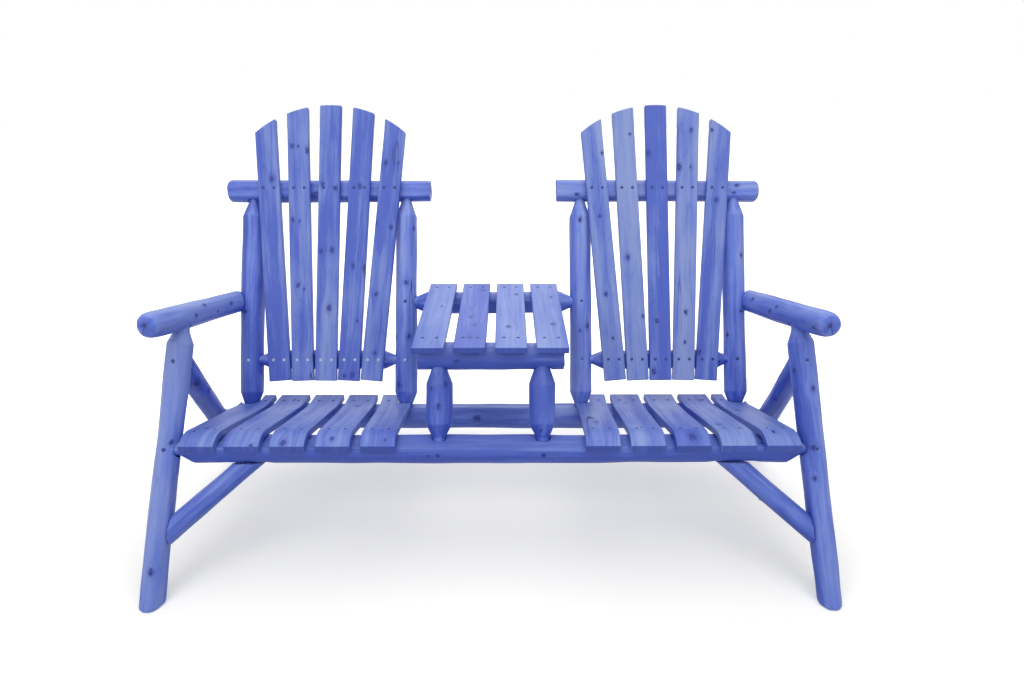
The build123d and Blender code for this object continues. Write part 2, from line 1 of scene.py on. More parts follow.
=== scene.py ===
"""Dresses the garden bench with table: peeled logs and boards with a worn blue stain."""

import logging
import math
import random
from dataclasses import dataclass
from enum import Enum

import bpy
import numpy as np
from mathutils import Euler, Matrix, Vector


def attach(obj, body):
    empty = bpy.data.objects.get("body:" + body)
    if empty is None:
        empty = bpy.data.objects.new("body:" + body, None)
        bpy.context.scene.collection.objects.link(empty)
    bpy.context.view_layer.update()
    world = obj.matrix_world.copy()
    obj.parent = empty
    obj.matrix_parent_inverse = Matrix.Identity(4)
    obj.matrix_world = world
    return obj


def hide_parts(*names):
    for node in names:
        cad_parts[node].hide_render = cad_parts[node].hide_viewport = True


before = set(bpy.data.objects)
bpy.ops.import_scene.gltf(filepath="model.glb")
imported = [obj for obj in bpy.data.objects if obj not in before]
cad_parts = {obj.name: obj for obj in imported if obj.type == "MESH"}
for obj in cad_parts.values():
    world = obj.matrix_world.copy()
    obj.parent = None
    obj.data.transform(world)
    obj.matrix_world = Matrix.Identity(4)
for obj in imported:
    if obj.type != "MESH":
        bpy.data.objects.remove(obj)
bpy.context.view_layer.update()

LOG = logging.getLogger("garden_bench")

# Three numbers for X, Y and Z or for a colour, and the two ends of a range
Triple = tuple[float, float, float]
Span = tuple[float, float]

Socket = bpy.types.NodeSocket

# Which way the faces of the logs, of the back boards and of the other boards are taken to look
TOWARD_VIEWER = Vector((0.0, -0.9, 0.43))
BACK_FACING = Vector((0.0, -0.885, 0.465))
UP = Vector((0.0, 0.0, 1.0))

WHITE = (1.0, 1.0, 1.0, 1.0)

# Which way the grain of a piece is taken to run: to the back first, then up, then to the right
GRAIN_WAY = Vector((0.1, 1.0, 0.5))


class Side(Enum):
    """The two halves of the bench, with how their nodes' names end."""

    LEFT = "left"
    RIGHT = "right"


class Tone(Enum):
    """How pale a piece looks, as what it adds to the shade of its grain."""

    DARK = -0.12
    DEEP = -0.07
    MEDIUM = -0.03
    PALE = 0.02
    LIGHT = 0.06


@dataclass(frozen=True)
class Knot:
    """A knot, with its centre on the surface of its piece."""

    centre: Vector
    radius: float


@dataclass(frozen=True)
class SeenKnot:
    """A knot where it shows in the photograph, in pixels, with its real radius in metres."""

    x: float
    y: float
    radius: float


@dataclass(frozen=True)
class View:
    """The photograph's camera."""

    lens: float = 24.715
    sensor: float = 36.0
    place: Triple = (0.0456, -1.6737, 1.3062)
    pitch: float = 25.37
    turn: float = -0.2184
    width: int = 1024
    height: int = 681

    @property
    def angles(self) -> Euler:
        """The camera's rotation."""
        return Euler((math.radians(90.0 - self.pitch), 0.0, math.radians(self.turn)))

    def way(self, x: float, y: float) -> Vector:
        """Finds the way from the camera through a pixel.

        Args:
            x: The pixel's place from the left.
            y: The pixel's place from the top.

        Returns:
            The way, of length 1.
        """
        focal = self.lens / self.sensor * self.width
        seen = Vector((x - 0.5 * self.width, 0.5 * self.height - y, -focal))
        return (self.angles.to_matrix() @ seen).normalized()


VIEW = View()


@dataclass(frozen=True)
class Stain:
    """A blue stain on wood, from its thin places to its thick ones, and the paler colour of its painted top
    light.
    """

    thin: Triple = (0.215, 0.283, 0.595)
    full: Triple = (0.104, 0.172, 0.570)
    log_thin: Triple = (0.205, 0.276, 0.680)
    log_full: Triple = (0.100, 0.172, 0.660)
    thick: Triple = (0.041, 0.088, 0.490)
    knot: Triple = (0.016, 0.034, 0.270)
    crack: Triple = (0.020, 0.036, 0.210)
    pith: Triple = (0.014, 0.028, 0.190)
    board_end: Triple = (0.047, 0.094, 0.460)
    board_end_late: Triple = (0.031, 0.066, 0.370)
    # Painted top light: the pale colour mixed onto faces that look up
    top_light_colour: Triple = (0.300, 0.386, 0.660)
    roughness: float = 0.62


@dataclass(frozen=True)
class Paint:
    """A coat on the heads of screws and nails."""

    colour: Triple
    roughness: float
    metallic: float


@dataclass(frozen=True)
class Noise:
    """A noise, with its scale along each axis."""

    scale: Triple
    detail: float = 3.0
    roughness: float = 0.6


@dataclass(frozen=True)
class KnotLook:
    """How a knot marks the wood and bends its grain. Edges are in radii of the knot."""

    squeeze: Triple = (0.70, 1.0, 1.0)
    wobble: Noise = Noise((130.0, 210.0, 210.0), 3.0, 0.70)
    raggedness: float = 3.0
    bend_falloff: float = -0.11
    bend: float = -0.78
    core_edge: Span = (0.80, 1.25)
    halo_edge: Span = (0.9, 2.6)
    halo: float = 0.36
    tail_squeeze: Triple = (0.20, 1.5, 1.5)
    tail_edge: Span = (0.7, 1.9)
    tail: float = 0.26


@dataclass(frozen=True)
class GrainLook:
    """The layers of long grain, with what each adds to the shade, and its rings, figure and cracks."""

    drift: Noise = Noise((4.0, 8.0, 8.0), 1.0, 0.5)
    drift_reach: float = 0.012
    fine: Noise = Noise((7.0, 300.0, 300.0))
    fine_shade: float = 0.13
    streak: Noise = Noise((2.6, 84.0, 84.0))
    streak_shade: float = 0.26
    brush: Noise = Noise((2.2, 34.0, 34.0), 2.0, 0.55)
    brush_shade: float = 0.34
    blotch: Noise = Noise((6.0, 15.0, 15.0))
    blotch_shade: float = 0.27
    ring_drift: float = 0.010
    ring_waves: float = 310.0
    ring_edge: Span = (0.05, 0.60)
    ring_blotches: Triple = (0.40, 0.60, 0.15)
    ring_shade: float = -0.042
    figure: Noise = Noise((2.4, 24.0, 24.0), 1.0, 0.45)
    figure_waves: float = 44.0
    figure_edge: Span = (0.02, 0.42)
    figure_blotches: Span = (0.60, 0.44)
    figure_shade: float = -0.034
    lift: float = 0.006
    split: Noise = Noise((0.9, 30.0, 30.0), 0.0, 0.4)
    split_edge: Span = (0.0016, 0.0075)
    cracked: Noise = Noise((3.2, 11.0, 11.0), 1.0, 0.5)
    cracked_edge: Span = (0.60, 0.66)
    grain_height: float = 0.5
    crack_height: float = -1.6


@dataclass(frozen=True)
class LogEndLook:
    """A log's sawn end. Lengths are in metres."""

    pith_place: Triple = (0.0, 0.003, 0.002)
    uneven: Noise = Noise((70.0, 70.0, 70.0))
    ring_uneven: float = 0.005
    ring_waves: float = 2100.0
    ring_shade: float = 0.030
    uneven_shade: float = 0.30
    lift: float = 0.33
    blot_uneven: float = 0.006
    blot_edge: Span = (0.0070, 0.0100)
    halo_edge: Span = (0.005, 0.017)
    halo: float = 0.45
    crack_uneven: float = 0.006
    crack_edge: Span = (0.0005, 0.0016)
    crack_tip: Span = (-0.028, -0.020)
    crack_root: Span = (-0.001, 0.001)


class Graph:
    """Adds nodes to a node tree and links them."""

    def __init__(self, tree: bpy.types.NodeTree) -> None:
        """Keeps the tree.

        Args:
            tree: The node tree of a material or a node group.
        """
        self.tree = tree

    def node(self, kind: str, inputs: dict | None = None, **settings) -> bpy.types.Node:
        """Adds a node.

        Args:
            kind: The node's type.
            inputs: A value or an output to link, for each input by its name or number.
            **settings: Attributes of the node.

        Returns:
            The new node.
        """
        new = self.tree.nodes.new(kind)
        for name, value in settings.items():
            setattr(new, name, value)
        for key, value in (inputs or {}).items():
            self.feed(new.inputs[key], value)
        return new

    def feed(self, socket: Socket, value) -> None:
        """Links an output to a socket, or sets its value.

        Args:
            socket: The input socket.
            value: The output or the value.
        """
        if isinstance(value, Socket):
            self.tree.links.new(value, socket)
        else:
            socket.default_value = value

    def math(self, operation: str, *values) -> Socket:
        """Adds a Math node and gives its result."""
        return self.node("ShaderNodeMath", dict(enumerate(values)), operation=operation).outputs[0]

    def vector(self, operation: str, *values) -> bpy.types.Node:
        """Adds a Vector Math node.

        Args:
            operation: What it does.
            *values: A value or an output to link, for each input.

        Returns:
            The new node.
        """
        new = self.node("ShaderNodeVectorMath", operation=operation)
        for place, value in enumerate(values):
            self.feed(new.inputs[place], value)
        return new

    def noise(self, vector, noise: Noise) -> Socket:
        """Adds a noise.

        Args:
            vector: The coordinates.
            noise: The noise's scales, detail and roughness.

        Returns:
            The noise's value, near 0.5 in the middle.
        """
        stretched = self.vector("MULTIPLY", vector, noise.scale).outputs[0]
        inputs = {"Vector": stretched, "Scale": 1.0, "Detail": noise.detail, "Roughness": noise.roughness}
        return self.node("ShaderNodeTexNoise", inputs).outputs["Fac"]

    def swing(self, noise, reach: float) -> Socket:
        """Scales a noise and centres it on 0."""
        return self.math("MULTIPLY_ADD", noise, reach, -0.5 * reach)

    def step(self, value, low: float, high: float, start: float = 0.0, end: float = 1.0) -> Socket:
        """Adds a smooth step from start to end, between two limits of a value."""
        inputs = {"Value": value, 1: low, 2: high, 3: start, 4: end}
        return self.node("ShaderNodeMapRange", inputs, interpolation_type="SMOOTHSTEP").outputs[0]

    def mix(self, share, first, second) -> Socket:
        """Mixes two colours.

        Args:
            share: The second colour's share.
            first: The first colour.
            second: The second colour.

        Returns:
            The mixed colour.
        """
        new = self.node("ShaderNodeMix", data_type="RGBA")
        for place, value in ((0, share), (6, first), (7, second)):
            if isinstance(value, tuple) and len(value) == 3:
                value = (*value, 1.0)
            self.feed(new.inputs[place], value)
        return new.outputs[2]


def new_group(name: str, inputs: dict[str, str], outputs: dict[str, str]) -> tuple:
    """Starts a shader node group.

    Args:
        name: The group's name.
        inputs: The type of each input socket.
        outputs: The type of each output socket.

    Returns:
        The group, its graph, its input node and its output node.
    """
    tree = bpy.data.node_groups.new(name, "ShaderNodeTree")
    for way, sockets in (("INPUT", inputs), ("OUTPUT", outputs)):
        for label, kind in sockets.items():
            tree.interface.new_socket(label, in_out=way, socket_type=kind)
    graph = Graph(tree)
    return tree, graph, graph.node("NodeGroupInput"), graph.node("NodeGroupOutput")


FLOAT = "NodeSocketFloat"
VECTOR = "NodeSocketVector"


def build_knot_group(look: KnotLook) -> bpy.types.NodeTree:
    """Builds the group for one knot: it bends the grain round itself and gives its mark.

    Args:
        look: How knots look.

    Returns:
        The node group.
    """
    tree, graph, given, result = new_group(
        "knot",
        {"Vector": VECTOR, "Centre": VECTOR, "Radius": FLOAT, "Mark": FLOAT},
        {"Vector": VECTOR, "Mark": FLOAT},
    )
    way = graph.vector("SUBTRACT", given.outputs["Vector"], given.outputs["Centre"]).outputs[0]
    squeezed = graph.vector("MULTIPLY", way, look.squeeze).outputs[0]
    wobble = graph.noise(given.outputs["Vector"], look.wobble)
    length = graph.vector("LENGTH", squeezed).outputs["Value"]
    share = graph.math("DIVIDE", length, given.outputs["Radius"])
    ragged = graph.math("ADD", share, graph.swing(wobble, look.raggedness))
    fall = graph.math("MULTIPLY", graph.math("POWER", share, 2.0), look.bend_falloff)
    kept = graph.math("MULTIPLY", graph.math("EXPONENT", fall), look.bend)
    across = graph.vector("MULTIPLY", way, (0.0, 1.0, 1.0)).outputs[0]
    shift = graph.node("ShaderNodeVectorMath", operation="SCALE")
    graph.feed(shift.inputs[0], across)
    graph.feed(shift.inputs["Scale"], kept)
    bent = graph.vector("ADD", given.outputs["Vector"], shift.outputs[0]).outputs[0]
    core = graph.step(ragged, *look.core_edge, 1.0, 0.0)
    halo = graph.step(ragged, *look.halo_edge, look.halo, 0.0)
    tail = graph.vector("LENGTH", graph.vector("MULTIPLY", way, look.tail_squeeze).outputs[0])
    tail = graph.math("DIVIDE", tail.outputs["Value"], given.outputs["Radius"])
    tail = graph.step(graph.math("ADD", tail, wobble), *look.tail_edge, look.tail, 0.0)
    mark = graph.math("MAXIMUM", graph.math("MAXIMUM", core, halo), tail)
    mark = graph.math("MAXIMUM", mark, given.outputs["Mark"])
    graph.feed(result.inputs["Vector"], bent)
    graph.feed(result.inputs["Mark"], mark)
    return tree


def build_grain_group(look: GrainLook) -> bpy.types.NodeTree:
    """Builds the group for long grain: its shade, its cracks and its height.

    Args:
        look: How grain looks.

    Returns:
        The node group.
    """
    tree, graph, given, result = new_group(
        "stained_grain",
        {"Vector": VECTOR, "Ring Place": VECTOR, "Rings": FLOAT},
        {"Shade": FLOAT, "Crack": FLOAT, "Height": FLOAT},
    )
    place = given.outputs["Vector"]
    drift = graph.swing(graph.noise(place, look.drift), look.drift_reach)
    place = graph.vector("ADD", place, graph.node("ShaderNodeCombineXYZ", {1: drift, 2: drift}).outputs[0])
    place = place.outputs[0]
    fine = graph.noise(place, look.fine)
    streak = graph.noise(place, look.streak)
    brush = graph.noise(place, look.brush)
    blotch = graph.noise(place, look.blotch)
    shade = graph.math("MULTIPLY", fine, look.fine_shade)
    shade = graph.math("MULTIPLY_ADD", streak, look.streak_shade, shade)
    shade = graph.math("MULTIPLY_ADD", brush, look.brush_shade, shade)
    shade = graph.math("MULTIPLY_ADD", blotch, look.blotch_shade, shade)
    rings = graph.vector("LENGTH", given.outputs["Ring Place"]).outputs["Value"]
    rings = graph.math("ADD", rings, graph.math("MULTIPLY", brush, look.ring_drift))
    rings = graph.math("ABSOLUTE", graph.math("SINE", graph.math("MULTIPLY", rings, look.ring_waves)))
    rings = graph.math("MULTIPLY", graph.step(rings, *look.ring_edge, 1.0, 0.0), given.outputs["Rings"])
    rings = graph.math("MULTIPLY", rings, graph.step(blotch, *look.ring_blotches, 1.0))
    shade = graph.math("MULTIPLY_ADD", rings, look.ring_shade, shade)
    figure = graph.math("MULTIPLY", graph.noise(place, look.figure), look.figure_waves)
    figure = graph.step(graph.math("ABSOLUTE", graph.math("SINE", figure)), *look.figure_edge, 1.0, 0.0)
    figure = graph.math("MULTIPLY", figure, graph.step(blotch, *look.figure_blotches))
    shade = graph.math("MULTIPLY_ADD", figure, look.figure_shade, shade)
    shade = graph.math("ADD", shade, look.lift)
    split = graph.math("ABSOLUTE", graph.math("SUBTRACT", graph.noise(place, look.split), 0.5))
    split = graph.step(split, *look.split_edge, 1.0, 0.0)
    where = graph.noise(place, look.cracked)
    crack = graph.math("MULTIPLY", split, graph.step(where, *look.cracked_edge))
    streak_height = graph.math("MULTIPLY", streak, look.grain_height)
    height = graph.math("MULTIPLY_ADD", fine, look.grain_height, streak_height)
    height = graph.math("MULTIPLY_ADD", crack, look.crack_height, height)
    graph.feed(result.inputs["Shade"], shade)
    graph.feed(result.inputs["Crack"], crack)
    graph.feed(result.inputs["Height"], height)
    return tree


def build_log_end_group(look: LogEndLook) -> bpy.types.NodeTree:
    """Builds the group for a log's sawn end: growth rings, a dark pith and one crack down from it.

    Args:
        look: How the ends look.

    Returns:
        The node group.
    """
    tree, graph, given, result = new_group("log_end", {"Vector": VECTOR}, {"Shade": FLOAT, "Pith": FLOAT})
    pith = graph.vector("SUBTRACT", given.outputs["Vector"], look.pith_place).outputs[0]
    parts = graph.node("ShaderNodeSeparateXYZ", {0: pith})
    flat = graph.vector("MULTIPLY", pith, (0.0, 1.0, 1.0)).outputs[0]
    radius = graph.vector("LENGTH", flat).outputs["Value"]
    uneven = graph.noise(flat, look.uneven)
    ring = graph.math("ADD", radius, graph.swing(uneven, look.ring_uneven))
    rings = graph.math("SINE", graph.math("MULTIPLY", ring, look.ring_waves))
    base = graph.math("MULTIPLY_ADD", uneven, look.uneven_shade, look.lift)
    shade = graph.math("MULTIPLY_ADD", rings, look.ring_shade, base)
    blot = graph.math("MULTIPLY_ADD", uneven, look.blot_uneven, radius)
    blot = graph.step(blot, *look.blot_edge, 1.0, 0.0)
    halo = graph.step(ring, *look.halo_edge, look.halo, 0.0)
    crooked = graph.math("ADD", parts.outputs[1], graph.swing(uneven, look.crack_uneven))
    line = graph.step(graph.math("ABSOLUTE", crooked), *look.crack_edge, 1.0, 0.0)
    line = graph.math("MULTIPLY", line, graph.step(parts.outputs[2], *look.crack_tip))
    line = graph.math("MULTIPLY", line, graph.step(parts.outputs[2], *look.crack_root, 1.0, 0.0))
    graph.feed(result.inputs["Shade"], shade)
    graph.feed(result.inputs["Pith"], graph.math("MAXIMUM", graph.math("MAXIMUM", blot, halo), line))
    return tree


# Knots that the photograph shows, each read off it
SEEN_KNOTS: dict[str, tuple[SeenKnot, ...]] = {
    "front_leg_left": (SeenKnot(171, 442, 0.0045), SeenKnot(151, 572, 0.0055)),
    "front_leg_right": (
        SeenKnot(795, 370, 0.004), SeenKnot(813, 388, 0.0055), SeenKnot(813, 447, 0.005),
        SeenKnot(815, 478, 0.0045),
    ),
    "arm_left": (
        SeenKnot(231, 303, 0.0045), SeenKnot(196, 315, 0.0045), SeenKnot(204, 305, 0.004),
        SeenKnot(218, 311, 0.0025),
    ),
    "arm_right": (SeenKnot(770, 311, 0.0045), SeenKnot(777, 307, 0.004), SeenKnot(753, 299, 0.0045)),
    "rear_leg_left": (SeenKnot(210, 390, 0.006), SeenKnot(197, 384, 0.009)),
    "rear_leg_right": (SeenKnot(773, 385, 0.005), SeenKnot(775, 400, 0.005)),
    "back_rail": (SeenKnot(477, 418, 0.0075),),
    "table_front_beam": (SeenKnot(456, 361, 0.005),),
    "table_post_left": (SeenKnot(431, 388, 0.004), SeenKnot(438, 406, 0.0055), SeenKnot(445, 384, 0.005)),
    "table_slat_2_left": (SeenKnot(442, 306, 0.0035),),
    "table_slat_1_left": (
        SeenKnot(471, 317, 0.005), SeenKnot(475, 325, 0.0035), SeenKnot(470, 337, 0.0055),
        SeenKnot(483, 290, 0.005),
    ),
    "table_slat_2_right": (SeenKnot(551, 297, 0.004), SeenKnot(553, 324, 0.005)),
    "seat_slat_1_left": (SeenKnot(385, 440, 0.003),),
    "seat_slat_2_left": (SeenKnot(332, 439, 0.0045), SeenKnot(357, 406, 0.006)),
    "seat_slat_3_left": (SeenKnot(283, 443, 0.007),),
    "seat_slat_4_left": (SeenKnot(251, 446, 0.005), SeenKnot(294, 400, 0.004)),
    "seat_slat_5_left": (SeenKnot(207, 428, 0.004), SeenKnot(194, 431, 0.003)),
    "seat_slat_3_right": (SeenKnot(693, 437, 0.0095),),
    "back_slat_1_left": (
        SeenKnot(386, 163, 0.006), SeenKnot(393, 163, 0.003), SeenKnot(398, 163, 0.003),
        SeenKnot(376, 223, 0.004), SeenKnot(391, 227, 0.005), SeenKnot(376, 294, 0.0045),
        SeenKnot(375, 353, 0.004),
    ),
    "back_slat_2_left": (
        SeenKnot(360, 186, 0.0055), SeenKnot(353, 266, 0.0045), SeenKnot(365, 268, 0.007),
        SeenKnot(357, 321, 0.0025), SeenKnot(344, 376, 0.004), SeenKnot(352, 375, 0.006),
    ),
    "back_slat_3_left": (
        SeenKnot(323, 184, 0.005), SeenKnot(336, 188, 0.0045), SeenKnot(321, 251, 0.0045),
        SeenKnot(332, 250, 0.006), SeenKnot(329, 308, 0.006),
    ),
    "back_slat_4_left": (
        SeenKnot(292, 146, 0.005), SeenKnot(297, 146, 0.0035), SeenKnot(308, 150, 0.007),
        SeenKnot(293, 220, 0.0045), SeenKnot(299, 221, 0.003), SeenKnot(298, 285, 0.005),
        SeenKnot(303, 289, 0.003), SeenKnot(314, 358, 0.008),
    ),
    "back_slat_5_left": (SeenKnot(272, 179, 0.0055), SeenKnot(286, 280, 0.005)),
    "back_slat_1_right": (
        SeenKnot(602, 153, 0.0035), SeenKnot(600, 216, 0.0035), SeenKnot(606, 294, 0.0045),
        SeenKnot(619, 302, 0.003), SeenKnot(613, 338, 0.003),
    ),
    "back_slat_2_right": (SeenKnot(630, 134, 0.003), SeenKnot(628, 257, 0.0055), SeenKnot(643, 316, 0.0035)),
    "back_slat_3_right": (SeenKnot(648, 153, 0.0065), SeenKnot(657, 321, 0.005), SeenKnot(654, 371, 0.0065)),
    "back_slat_4_right": (
        SeenKnot(691, 130, 0.004), SeenKnot(679, 167, 0.0065), SeenKnot(690, 167, 0.003),
        SeenKnot(686, 312, 0.0045), SeenKnot(685, 342, 0.0035),
    ),
    "back_slat_5_right": (
        SeenKnot(712, 130, 0.0035), SeenKnot(716, 200, 0.005), SeenKnot(724, 302, 0.0035),
        SeenKnot(699, 352, 0.005),
    ),
    "back_post_inner_left": (
        SeenKnot(414, 228, 0.004), SeenKnot(406, 282, 0.005), SeenKnot(396, 337, 0.005),
        SeenKnot(409, 336, 0.005), SeenKnot(399, 384, 0.006),
    ),
    "back_post_outer_left": (SeenKnot(262, 371, 0.004),),
    "back_post_inner_right": (
        SeenKnot(580, 219, 0.0045), SeenKnot(587, 325, 0.006), SeenKnot(581, 330, 0.003),
    ),
    "back_post_outer_right": (SeenKnot(741, 255, 0.0045), SeenKnot(727, 334, 0.0045)),
    "top_rail_left": (SeenKnot(316, 194, 0.008),),
    "top_rail_right": (SeenKnot(737, 185, 0.004), SeenKnot(734, 192, 0.004), SeenKnot(577, 194, 0.004)),
}

# The pieces that look paler or darker than the rest
TONES: dict[str, Tone] = {
    "arm_left": Tone.PALE,
    "arm_right": Tone.PALE,
    "back_post_inner_left": Tone.PALE,
    "back_post_inner_right": Tone.PALE,
    "back_post_outer_left": Tone.DEEP,
    "back_slat_1_right": Tone.PALE,
    "back_slat_2_left": Tone.DEEP,
    "back_slat_2_right": Tone.LIGHT,
    "back_slat_3_right": Tone.DARK,
    "back_slat_4_right": Tone.LIGHT,
    "back_slat_5_left": Tone.DEEP,
    "front_leg_left": Tone.LIGHT,
    "front_rail": Tone.DARK,
    "knee_brace_right": Tone.DEEP,
    "table_front_beam": Tone.DARK,
    "table_post_left": Tone.DARK,
    "table_post_right": Tone.DARK,
    "table_slat_1_left": Tone.DARK,
    "top_rail_right": Tone.LIGHT,
}

# How strongly painted top light pales the faces that look up: the usual share, and the pieces that differ
TOP_LIGHT_SHARE = 0.36
TOP_LIGHT_SHARES: dict[str, float] = {
    "front_rail": 0.60,
    "table_front_beam": 0.75,
    "table_slat_1_left": 0.16,
}


def axis_ends(node: str) -> tuple[Vector, Vector]:
    """Finds the long axis of a CAD node from how its surface is spread.

    Args:
        node: The node's name.

    Returns:
        Where the axis starts and ends.
    """
    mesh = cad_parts[node].data
    mesh.calc_loop_triangles()
    corners = np.array([[mesh.vertices[index].co for index in face.vertices] for face in mesh.loop_triangles])
    areas = np.array([face.area for face in mesh.loop_triangles])
    middle = np.average(corners.mean(axis=1), axis=0, weights=areas)
    corners -= middle
    sums = corners.sum(axis=1)
    spread = np.einsum("n,nki,nkj->ij", areas, corners, corners) + np.einsum("n,ni,nj->ij", areas, sums, sums)
    axis = Vector(np.linalg.eigh(spread)[1][:, -1])
    if axis.dot(GRAIN_WAY) < 0.0:
        axis.negate()
    reach = corners.reshape(-1, 3) @ np.array(axis)
    middle = Vector(middle)
    return middle + axis * float(reach.min()), middle + axis * float(reach.max())


@dataclass
class Timber:
    """A log or a board, with its axis worked out from its CAD node."""

    name: str
    is_log: bool
    facing: Vector
    knot_count: int = 2
    contrast: float = 1.0
    fade: float = 0.04

    def __post_init__(self) -> None:
        """Finds the ends of the piece's axis, its tones and its knots."""
        self.start, self.end = axis_ends(self.name)
        tone = TONES.get(self.name, Tone.MEDIUM).value
        fade = random.Random(f"fade {self.name}").uniform(-self.fade, self.fade)
        self.tone = (tone - fade, tone + fade)
        self.knots = self.seen_knots() if self.name in SEEN_KNOTS else self.made_up_knots()

    @property
    def axis(self) -> Vector:
        """Direction of the grain."""
        return (self.end - self.start).normalized()

    @property
    def length(self) -> float:
        """Length from start to end."""
        return (self.end - self.start).length

    @property
    def top_light_share(self) -> float:
        """How strongly painted top light pales the faces that look up."""
        return TOP_LIGHT_SHARES.get(self.name, TOP_LIGHT_SHARE)

    def turning(self) -> Matrix:
        """Works out the turn from the bench's frame to the timber's own.

        Returns:
            The turn, with X along the timber and Z out of its face.
        """
        along = self.axis
        out = (self.facing - along * self.facing.dot(along)).normalized()
        return Matrix((along, out.cross(along), out))

    def own(self, place: Vector) -> Vector:
        """A place in the bench's frame, in the timber's own."""
        return self.turning() @ (place - self.start)

    def seen_knots(self) -> list[Knot]:
        """Finds the knots that the photograph shows.

        Returns:
            The knots, each where its pixel's line of sight meets the piece or, past its edge, comes nearest.
        """
        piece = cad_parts[self.name]
        eye = Vector(VIEW.place)
        knots = []
        for seen in SEEN_KNOTS[self.name]:
            way = VIEW.way(seen.x, seen.y)
            met, centre, _, _ = piece.ray_cast(eye, way)
            if not met:
                middle = 0.5 * (self.start + self.end)
                _, centre, _, _ = piece.closest_point_on_mesh(eye + way * (middle - eye).dot(way))
            knots.append(Knot(centre, seen.radius))
        return knots

    def made_up_knots(
        self,
        size: float = 0.0042,
        sizes: Span = (0.6, 1.3),
        stretch: Span = (0.2, 0.8),
        reach: float = 0.026,
        outside: float = 0.2,
    ) -> list[Knot]:
        """Makes up knots for a piece on which the photograph shows none, the same in each run.

        Args:
            size: Usual radius of a knot.
            sizes: The range of a knot's radius, as a share of that.
            stretch: The part of each knot's share of the length in which it lies.
            reach: How far from a board's middle a knot may lie.
            outside: How far outside the piece the search for its surface starts.

        Returns:
            The knots.
        """
        picked = random.Random(f"knots {self.name}")
        along, side, out = self.turning()
        knots = []
        for number in range(self.knot_count):
            distance = self.length * (number + picked.uniform(*stretch)) / self.knot_count
            place = self.start + along * distance
            across, radius = picked.uniform(-1.0, 1.0), size * picked.uniform(*sizes)
            way = out
            if self.is_log:
                way = Matrix.Rotation(across * math.pi, 3, along) @ out
            else:
                place = place + side * (across * reach)
            met, centre, _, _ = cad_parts[self.name].ray_cast(place + way * outside, -way)
            if met:
                knots.append(Knot(centre, radius))
        return knots


